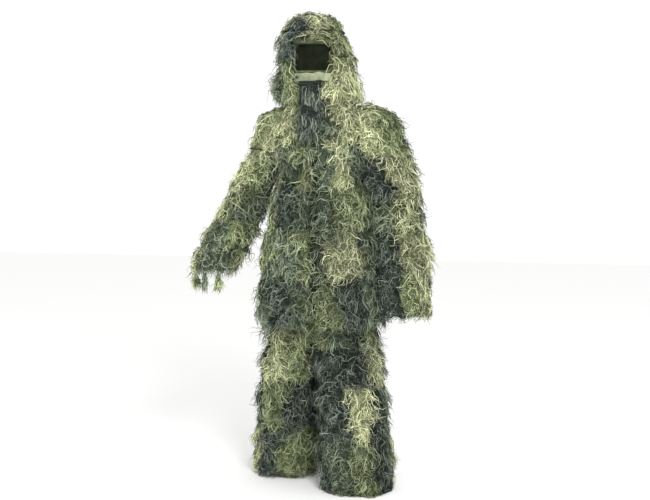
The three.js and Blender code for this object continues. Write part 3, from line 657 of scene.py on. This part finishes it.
def grow_threads(name, skin, **sizes):
    """Grows threads on a skin and returns them as one plain mesh piece. The skin is used up."""
    grower = skin.modifiers.new("threads", "NODES")
    grower.node_group = threads
    for key, value in sizes.items():
        grower[THREAD_INPUT[key]] = value
    bpy.context.view_layer.update()
    grown = skin.evaluated_get(bpy.context.evaluated_depsgraph_get())
    mesh = bpy.data.meshes.new_from_object(grown)
    mesh.name = name
    skin.modifiers.clear()
    bpy.data.objects.remove(skin)
    for spare in ("root", "heading", "aside", "out", "reach", "droop", "phase", "waves", "swing"):
        if spare in mesh.attributes:
            mesh.attributes.remove(mesh.attributes[spare])
    for old in list(mesh.uv_layers):
        mesh.uv_layers.remove(old)
    trim(mesh)
    mesh.shade_smooth()
    count = lay_out_cells(mesh)
    piece = bpy.data.objects.new(name, mesh)
    bpy.context.scene.collection.objects.link(piece)
    grown_threads.append((name, count, sum(len(p.vertices) - 2 for p in mesh.polygons)))
    return piece


# %% [markdown]
# ## Knotting on the rows
# Each row now gets its mat and its threads. Both ride on the part of the suit that the row is knotted
# to. At the knees and the elbows they aren't attached to a part and don't bend.

# %% Where the joints fold
FOLDS = {  # the part above, the part below, the level of the axis, and half the length that bends
    "left_knee": ("left_thigh", "left_shin", -1.020, 0.062),
    "right_knee": ("right_thigh", "right_shin", -1.020, 0.062),
    "left_elbow": ("left_upper_sleeve", "left_forearm", -0.450, 0.058),
    "right_elbow": ("right_upper_sleeve", "right_forearm", -0.410, 0.058),
}


def fold_at(piece, fold):
    """Bakes the place of a piece at a knee or an elbow into its mesh; the piece isn't made to bend."""
    upper, lower, axis_level, half = FOLDS[fold]
    middle = axis_of(fold + "_cloth")[0]
    start, end = middle(axis_level + half), middle(axis_level - half)
    tuple(start)
    tuple(end)
    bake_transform(piece)


def hold(piece, body, slot, *nodes):
    """Says which part of the suit a piece moves with and the measured pieces it stands for. Its finish, slot,
    is not used.
    """
    if body in FOLDS:
        fold_at(piece, body)
    else:
        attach(piece, body)
    if nodes:
        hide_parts(*nodes)
    return piece


# %% The rows
ROW_BODIES = {
    "jacket_fringe_row_1": "jacket", "jacket_fringe_row_2": "jacket", "jacket_fringe_row_3": "jacket",
    "jacket_fringe_row_4": "jacket", "jacket_fringe_row_5": "jacket",
    "hood_crown_fringe": "hood", "hood_fringe_row_1": "hood", "hood_fringe_row_2": "hood",
}
for side in ("left", "right"):
    ROW_BODIES |= {
        f"{side}_sleeve_fringe_row_1": f"{side}_upper_sleeve",
        f"{side}_sleeve_fringe_row_2": f"{side}_upper_sleeve",
        f"{side}_sleeve_fringe_row_3": f"{side}_forearm", f"{side}_sleeve_fringe_row_4": f"{side}_forearm",
        f"{side}_thigh_fringe_row": f"{side}_thigh", f"{side}_knee_fringe_row": f"{side}_knee",
        f"{side}_shin_fringe_row_1": f"{side}_shin", f"{side}_shin_fringe_row_2": f"{side}_shin",
    }
ROW_SIZES = {
    "hood_crown_fringe": {
        "lift": 0.005, "curl": 0.007, "past": 0.02, "longest": 0.055, "density": 22000.0, "uneven": 0.01,
    },
    "hood_fringe_row_1": {"longest": 0.07, "density": 19000.0},
    "left_sleeve_fringe_row_4": {"past": -0.045, "uneven": 0.015},
    "left_thigh_fringe_row": {"past": 0.05, "longest": 0.10},
    "right_thigh_fringe_row": {"past": 0.05, "longest": 0.10},
    "hood_fringe_row_2": {"past": 0.05, "longest": 0.11, "density": 19000.0},
    "left_shin_fringe_row_2": {"past": -0.01, "shortest": 0.025, "lift": 0.005},
    "right_shin_fringe_row_2": {"past": -0.01, "shortest": 0.025, "lift": 0.005},
}
ROW_SHAPES = {  # how much less flared at the hem, and how much fuller at the top
    "hood_crown_fringe": (0.018, -0.010),
    "hood_fringe_row_1": (0.018, 0.000), "hood_fringe_row_2": (0.030, 0.000),
    "right_sleeve_fringe_row_1": (0.024, -0.012), "right_sleeve_fringe_row_2": (0.020, -0.008),
    "left_knee_fringe_row": (0.010, 0.010), "right_knee_fringe_row": (0.010, 0.010),
    "jacket_fringe_row_1": (0.010, 0.014),
    "jacket_fringe_row_4": (0.004, 0.016), "jacket_fringe_row_5": (0.004, 0.016),
}
USUAL_SHAPE = (0.014, 0.011)
for number, (row, body) in enumerate(ROW_BODIES.items()):
    middle, low, high = axis_of(row)
    chart = CHARTS[row]
    flatter, fuller = ROW_SHAPES.get(row, USUAL_SHAPE)
    hold(yarn_mat(row, chart, flatter=flatter, fuller=fuller), body, "yarn", row)
    sizes = {"hem": low, "seed": number + 1, "density": 11500.0} | ROW_SIZES.get(row, {})
    steepest = TOPS_TOO if row == "hood_crown_fringe" else SIDES_ONLY
    skin = yarn_skin(row, chart, steepest=steepest, flatter=flatter, fuller=fuller)
    hold(grow_threads(row + "_threads", skin, **sizes), body, "yarn")
for name, count, triangles in grown_threads:
    print(f"{name}: {count} threads, {triangles} triangles")

# %% Bare stretches of netting with yarn of their own
BROW_LOW, BROW_HIGH = 0.216, 0.246
BROW_SIZES = {  # cropped above the brim
    "past": -0.01, "shortest": 0.012, "longest": 0.022, "lift": 0.006, "uneven": 0.004, "density": 26000.0,
}
CROWN_SIZES = {"density": 20000.0, "lift": 0.016, "longest": 0.05, "curl": 0.010}  # these stand up

def above(level):
    """A test for places over a level."""
    return lambda place: place.z > level


def brow(place):
    return place.y < 0 and BROW_LOW < place.z < BROW_HIGH


bare_sleeve, bare_yoke = above(-0.056), above(-0.014)  # over the first row of the sleeves and the jacket
BARE = [
    # piece, body, chart, where, hem, sizes of its own
    ("left_elbow_cloth", "left_elbow", "left_elbow_cloth", None, -0.515, {}),
    ("right_elbow_cloth", "right_elbow", "right_elbow_cloth", None, -0.475, {}),
    ("left_upper_sleeve", "left_upper_sleeve", "left_sleeve_fringe_row_1", bare_sleeve, -0.12, {}),
    ("right_upper_sleeve", "right_upper_sleeve", "right_sleeve_fringe_row_1", bare_sleeve, -0.12, {}),
    ("jacket_back", "jacket", "jacket_fringe_row_1", bare_yoke, -0.07, {}),
    ("jacket_front_left", "jacket", "jacket_fringe_row_1", bare_yoke, -0.07, {}),
    ("jacket_front_right", "jacket", "jacket_fringe_row_1", bare_yoke, -0.07, {}),
    ("collar", "jacket", "jacket_fringe_row_1", lambda place: place.z < 0.012, -0.04, {}),
    ("hood_shell", "hood", "hood_fringe_row_2", lambda place: place.y < 0 and place.z < 0.052, 0.0, {}),
    ("hood_shell", "hood", "hood_crown_fringe", brow, BROW_LOW, BROW_SIZES),
    ("hood_shell", "hood", "hood_crown_fringe", above(0.274), 0.25, CROWN_SIZES),
]
for number, (name, body, chart, where, hem, own_sizes) in enumerate(BARE):
    skin = yarn_skin(name, CHARTS[chart], where, TOPS_TOO if own_sizes is CROWN_SIZES else SIDES_ONLY)
    sizes = {"hem": hem, "seed": 60 + number, "density": 14500.0, "shortest": 0.03, "longest": 0.08}
    sizes |= own_sizes
    hold(grow_threads(f"{name}_yarn_{number + 1}", skin, **sizes), body, "yarn")
print("threads so far:", sum(t[1] for t in grown_threads), "triangles:", sum(t[2] for t in grown_threads))

# %% [markdown]
# ## The yarn column and the cuff tassels
# A column of slate yarn hangs from the chin flap, and three twists of yarn hang under the right cuff. They
# are made like the rows. The threads of the tassels are short and close.

# %% Chin column and tassels
chin_mat = yarn_mat("chin_fringe", "S", ragged=0.03, sunk=0.006, narrower=0.78)
hold(chin_mat, "chin_flap", "yarn", "chin_fringe")
low = axis_of("chin_fringe")[1]
skin = yarn_skin("chin_fringe", "S", lambda place: place.z > low + 0.03, narrower=0.66)
chin_threads = grow_threads(
    "chin_fringe_threads", skin,
    hem=low, seed=90, density=30000.0, longest=0.09, curl=0.006, lift=0.002, spread=0.25,
)
hold(chin_threads, "chin_flap", "yarn")
for number in (1, 2, 3):
    name = f"right_cuff_tassel_{number}"
    shade = "OGO"[number - 1]
    hold(yarn_mat(name, shade, ragged=0.0, sunk=0.002), "right_forearm", "yarn", name)
    low = axis_of(name)[1]
    skin = yarn_skin(name, shade)
    tuft = grow_threads(
        name + "_threads", skin,
        hem=low, seed=93 + number, density=60000.0, past=0.004, shortest=0.015, longest=0.05,
        curl=0.005, lift=0.004, spread=0.4,
    )
    hold(tuft, "right_forearm", "yarn")

# %% [markdown]
# ## Netting cloth
# The suit's cloth is a coarse knotted netting. Cloth as thin as this could be simulated, but here it is
# held all over by the yarn knotted into it, so each panel keeps its measured shape and only gets small
# puckers where the knots pull. The netting's mesh is drawn by two sets of slanting bands.

# %% Cloth materials
def netting_material():
    material, tree, shader = new_material("netting_cloth", 0.92)
    place = add_node(tree, "ShaderNodeTexCoord").outputs["Object"]
    bands = []
    for slant in ((1.0, 1.0, 1.0), (1.0, 1.0, -1.0)):
        turned = add_node(tree, "ShaderNodeMapping", {"Vector": place, "Scale": slant})
        band = {"Vector": turned.outputs[0], "Scale": 28.0, "Distortion": 1.2, "Detail": 1.0}
        wave = add_node(tree, "ShaderNodeTexWave", band, wave_type="BANDS", bands_direction="DIAGONAL")
        bands.append(wave.outputs["Fac"])
    cord = maths(tree, "MAXIMUM", *bands)
    fibre = add_node(tree, "ShaderNodeTexNoise", {"Vector": place, "Scale": 420.0, "Detail": 4.0})
    colour = ramp(tree, cord, (0.35, (0.016, 0.019, 0.011)), (0.85, (0.085, 0.10, 0.055)))
    mottled = ramp(tree, fibre.outputs["Fac"], (0.3, (0.7, 0.7, 0.7)), (0.7, (1.2, 1.2, 1.15)))
    tree.links.new(times(tree, colour, mottled), shader.inputs["Base Color"])
    add_bump(tree, shader, maths(tree, "MULTIPLY_ADD", fibre.outputs["Fac"], 0.3, cord), 0.0015)
    return material


def woven_material(name, dark, light, threads_per_m, bump, roughness=0.85):
    """Plain-woven cloth: fine bands both ways, worn and faded in patches."""
    material, tree, shader = new_material(name, roughness)
    place = add_node(tree, "ShaderNodeTexCoord").outputs["Object"]
    bands = []
    band = {"Vector": place, "Scale": threads_per_m, "Distortion": 0.6, "Detail": 1.0}
    for direction in ("X", "Z"):
        wave = add_node(tree, "ShaderNodeTexWave", band, wave_type="BANDS", bands_direction=direction)
        bands.append(wave.outputs["Fac"])
    weave = maths(tree, "MULTIPLY", *bands)
    worn = add_node(tree, "ShaderNodeTexNoise", {"Vector": place, "Scale": 38.0, "Detail": 5.0})
    faded = ramp(tree, worn.outputs["Fac"], (0.32, dark), (0.68, light))
    shaded = ramp(tree, weave, (0.0, (0.72, 0.72, 0.72)), (0.8, (1.06, 1.06, 1.04)))
    tree.links.new(times(tree, faded, shaded), shader.inputs["Base Color"])
    add_bump(tree, shader, weave, bump)
    return material


netting = netting_material()
bare_cloth = woven_material("bare_cloth", (0.30, 0.34, 0.21), (0.50, 0.54, 0.36), 260.0, 0.0006)
brim_cloth = woven_material("brim_cloth", (0.045, 0.060, 0.028), (0.130, 0.150, 0.080), 260.0, 0.0006)
face_screen = woven_material("face_screen", (0.007, 0.010, 0.004), (0.017, 0.022, 0.011), 200.0, 0.0010, 0.9)
tape_cloth = woven_material("zip_tape", (0.022, 0.028, 0.018), (0.045, 0.052, 0.032), 420.0, 0.0004)


def elastic_material():
    material, tree, shader = new_material("elastic", 0.7)
    place = add_node(tree, "ShaderNodeTexCoord").outputs["Object"]
    rib = {"Vector": place, "Scale": 190.0, "Distortion": 0.3}
    ribs = add_node(tree, "ShaderNodeTexWave", rib, wave_type="BANDS", bands_direction="Z")
    lint = add_node(tree, "ShaderNodeTexNoise", {"Vector": place, "Scale": 300.0, "Detail": 3.0})
    colour = ramp(tree, ribs.outputs["Fac"], (0.2, (0.012, 0.013, 0.011)), (0.8, (0.045, 0.048, 0.040)))
    dusty = ramp(tree, lint.outputs["Fac"], (0.4, (0.8, 0.8, 0.8)), (0.75, (1.5, 1.5, 1.4)))
    tree.links.new(times(tree, colour, dusty), shader.inputs["Base Color"])
    add_bump(tree, shader, ribs.outputs["Fac"], 0.0006)
    return material


def dark_metal_material():
    material, tree, shader = new_material("dark_metal", 0.42)
    place = add_node(tree, "ShaderNodeTexCoord").outputs["Object"]
    grain = add_node(tree, "ShaderNodeTexNoise", {"Vector": place, "Scale": 900.0, "Detail": 4.0})
    worn = ramp(tree, grain.outputs["Fac"], (0.35, (0.020, 0.022, 0.018)), (0.72, (0.075, 0.080, 0.068)))
    tree.links.new(worn, shader.inputs["Base Color"])
    rough = add_node(tree, "ShaderNodeMapRange", {0: grain.outputs["Fac"], 3: 0.34, 4: 0.62})
    tree.links.new(rough.outputs[0], shader.inputs["Roughness"])
    shader.inputs["Metallic"].default_value = 0.85
    add_bump(tree, shader, grain.outputs["Fac"], 0.0002)
    return material


elastic = elastic_material()
dark_metal = dark_metal_material()

# %% Cloth panels
CLOTH_BODIES = {
    "jacket_back": "jacket", "jacket_front_left": "jacket", "jacket_front_right": "jacket",
    "collar": "jacket", "trouser_waistband": "jacket", "trouser_seat": "jacket",
    "crotch_gusset": "jacket", "hood_shell": "hood",
}
for side in ("left", "right"):
    CLOTH_BODIES |= {
        f"{side}_upper_sleeve": f"{side}_upper_sleeve", f"{side}_elbow_cloth": f"{side}_elbow",
        f"{side}_forearm_sleeve": f"{side}_forearm", f"{side}_thigh": f"{side}_thigh",
        f"{side}_knee_cloth": f"{side}_knee", f"{side}_shin": f"{side}_shin",
    }


def pucker(work, size, depth):
    """Moves corners in and out by a slow noise. Both faces of the cloth move together."""
    for vertex in work.verts:
        slow = noise.noise(Vector((vertex.co.x * size, vertex.co.y * size, vertex.co.z * size * 0.6)))
        away = Vector((vertex.co.x, vertex.co.y, 0)).normalized()
        vertex.co -= away * depth * (0.5 + slow)


for name, body in CLOTH_BODIES.items():
    work = fine_copy(name, 0.03)
    pucker(work, 24, 0.0016)
    panel = new_piece(name + "_netting", work, netting)
    hold(panel, body, "netting_cloth", name)

# %% [markdown]
# ## The face
# The eye opening has a sewn, pale binding whose upper edge is folded out as a short brim. A screen of
# dark mesh is sewn in behind it, so the wearer sees out and nobody sees in. A flap of the same pale
# cloth closes under it with a press stud. Cloth pieces as small as these hardly fold, so each is a copy
# of the measured piece, cut finer and puckered, and the soft flap's edges wander.

# %% Binding, screen and chin flap
FLAP_WANDER = 0.009  # how far its edges stray up and down
FACE_CLOTH = {  # body, cloth, finish, and how deep it puckers
    "face_opening_binding": ("hood", brim_cloth, "bare_cloth", 0.0018),
    "eye_screen": ("hood", face_screen, "face_screen", 0.0010),
    "chin_flap": ("chin_flap", bare_cloth, "bare_cloth", 0.0030),
}
for name, (body, cloth, slot, depth) in FACE_CLOTH.items():
    work = fine_copy(name, 0.006)
    pucker(work, 60, depth)
    if name == "chin_flap":
        for vertex in work.verts:
            vertex.co.z += FLAP_WANDER * noise.noise(Vector((vertex.co.x * 26, 0.0, 3.0)))
    piece = hold(new_piece(name + "_cloth", work, cloth), body, slot, name)

# %% [markdown]
# ## Stitches
# A row of small stitches holds the binding and the flap. One stitch is a slim bead of thread, and
# Geometry Nodes repeat it along the seam line.

# %% The stitch tree
stitches = bpy.data.node_groups.new("stitch_row", "GeometryNodeTree")
stitches.interface.new_socket("Seam", in_out="INPUT", socket_type="NodeSocketGeometry")
stitches.interface.new_socket("Stitches", in_out="OUTPUT", socket_type="NodeSocketGeometry")
tree_input(stitches, "Pitch", "NodeSocketFloat", 0.0045)
tree_input(stitches, "Stitch length", "NodeSocketFloat", 0.003)
tree_input(stitches, "Thread thickness", "NodeSocketFloat", 0.0007)
seam_in, seam_out = stitches.nodes.new("NodeGroupInput"), stitches.nodes.new("NodeGroupOutput")
seam = {s.name: s for s in seam_in.outputs}
as_curve = add_node(stitches, "GeometryNodeMeshToCurve", {"Mesh": seam["Seam"]})
steps = add_node(
    stitches, "GeometryNodeCurveToPoints",
    {"Curve": as_curve.outputs[0], "Length": seam["Pitch"]}, mode="LENGTH",
)
along_seam = {"Vector": steps.outputs["Tangent"]}
turned = add_node(stitches, "FunctionNodeAlignRotationToVector", along_seam, axis="Z")
bead = add_node(stitches, "GeometryNodeMeshIcoSphere", {"Radius": 0.5, "Subdivisions": 1})
thick, long = seam["Thread thickness"], seam["Stitch length"]
bead_size = add_node(stitches, "ShaderNodeCombineXYZ", {0: thick, 1: thick, 2: long})
sewn = add_node(stitches, "GeometryNodeInstanceOnPoints", {
    "Points": steps.outputs["Points"], "Instance": bead.outputs[0],
    "Rotation": turned.outputs[0], "Scale": bead_size.outputs[0],
})
sewn = add_node(stitches, "GeometryNodeRealizeInstances", {"Geometry": sewn.outputs[0]})
stitch_thread = woven_material("stitch_thread", (0.42, 0.44, 0.33), (0.60, 0.62, 0.48), 900.0, 0.0002, 0.8)
sewn = add_node(stitches, "GeometryNodeSetMaterial", {"Geometry": sewn.outputs[0], "Material": stitch_thread})
stitches.links.new(sewn.outputs[0], seam_out.inputs[0])


RAY_STEP = 0.004  # how far apart the seam line touches the cloth
STITCH_PROUD = 0.0002


def front_of(names, x, level):
    """The frontmost point of some pieces at a place across and a level, seen from straight ahead."""
    best = None
    for name in names:
        hit, place, _, _ = bpy.data.objects[name].ray_cast(Vector((x, -1.0, level)), Vector((0, 1, 0)))
        if hit and (best is None or place.y < best.y):
            best = place.copy()
    return best


def sew(name, corners, on, body, closed=False):
    """Lays a line of stitches on the front of a piece, through corners given as (across, level)."""
    path = []
    ends = corners[1:] + corners[:1] if closed else corners[1:]
    pairs = list(zip(corners, ends))
    for (x0, z0), (x1, z1) in pairs:
        steps = max(2, int(math.dist((x0, z0), (x1, z1)) / RAY_STEP))
        for i in range(steps):
            place = front_of(on, x0 + (x1 - x0) * i / steps, z0 + (z1 - z0) * i / steps)
            if place:
                path.append(place - Vector((0, STITCH_PROUD, 0)))
    edges = [(i, i + 1) for i in range(len(path) - 1)] + ([(len(path) - 1, 0)] if closed else [])
    mesh = bpy.data.meshes.new(name)
    mesh.from_pydata(path, edges, [])
    line_piece = bpy.data.objects.new(name + "_line", mesh)
    bpy.context.scene.collection.objects.link(line_piece)
    sewing = line_piece.modifiers.new("stitches", "NODES")
    sewing.node_group = stitches
    bpy.context.view_layer.update()
    made = bpy.data.meshes.new_from_object(line_piece.evaluated_get(bpy.context.evaluated_depsgraph_get()))
    line_piece.modifiers.clear()
    bpy.data.objects.remove(line_piece)
    piece = bpy.data.objects.new(name, made)
    bpy.context.scene.collection.objects.link(piece)
    print(name, "polygons:", len(made.polygons))
    return hold(piece, body, "bare_cloth")


# %% Sewing the face
WINDOW_X, WINDOW_LEVEL, HALF_WIDE, HALF_TALL, CORNER = -0.009, 0.140, 0.0695, 0.0525, 0.015
outline = []
for quarter, (sx, sz) in enumerate(((1, 1), (-1, 1), (-1, -1), (1, -1))):
    for step in range(6):
        angle = math.pi / 2 * (quarter + step / 5)
        outline.append((
            WINDOW_X + sx * (HALF_WIDE - CORNER) + CORNER * math.cos(angle),
            WINDOW_LEVEL + sz * (HALF_TALL - CORNER) + CORNER * math.sin(angle),
        ))
sew("binding_stitches", outline, ["face_opening_binding_cloth"], "hood", closed=True)
flap_low, flap_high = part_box("chin_flap")
inset = 0.004
flap_corners = [
    (flap_low[0] + inset, flap_low[2] + inset), (flap_high[0] - inset, flap_low[2] + inset),
    (flap_high[0] - inset, flap_high[2] - inset), (flap_low[0] + inset, flap_high[2] - inset),
]
sew("chin_flap_stitches", flap_corners, ["chin_flap_cloth"], "chin_flap", closed=True)

# %% [markdown]
# ## Zip, studs and elastics
# The zip, the press stud and the elastics are right as they were measured, so they only get their finish.

# %% Finishes of the measured pieces
FINISHES = {
    tape_cloth: ["zipper_tape_left", "zipper_tape_right"],
    dark_metal: ["zipper_slider", "zipper_pull", "chin_snap_stud", "chin_snap_cap"],
    elastic: ["waist_elastic", "left_cuff_elastic", "right_cuff_elastic"],
}
for finish, names in FINISHES.items():
    for name in names:
        mesh_slots = suit_nodes[name].material_slots
        for mesh_slot in mesh_slots:
            mesh_slot.link = "OBJECT"
            mesh_slot.material = finish

# %% [markdown]
# ## Sizes
# The threads may stand a little proud of the measured suit, as fabric does. Only the measured size is
# printed.

# %% Sizes
print("measured", [round(v, 3) for v in (*cad_low, *cad_high)])
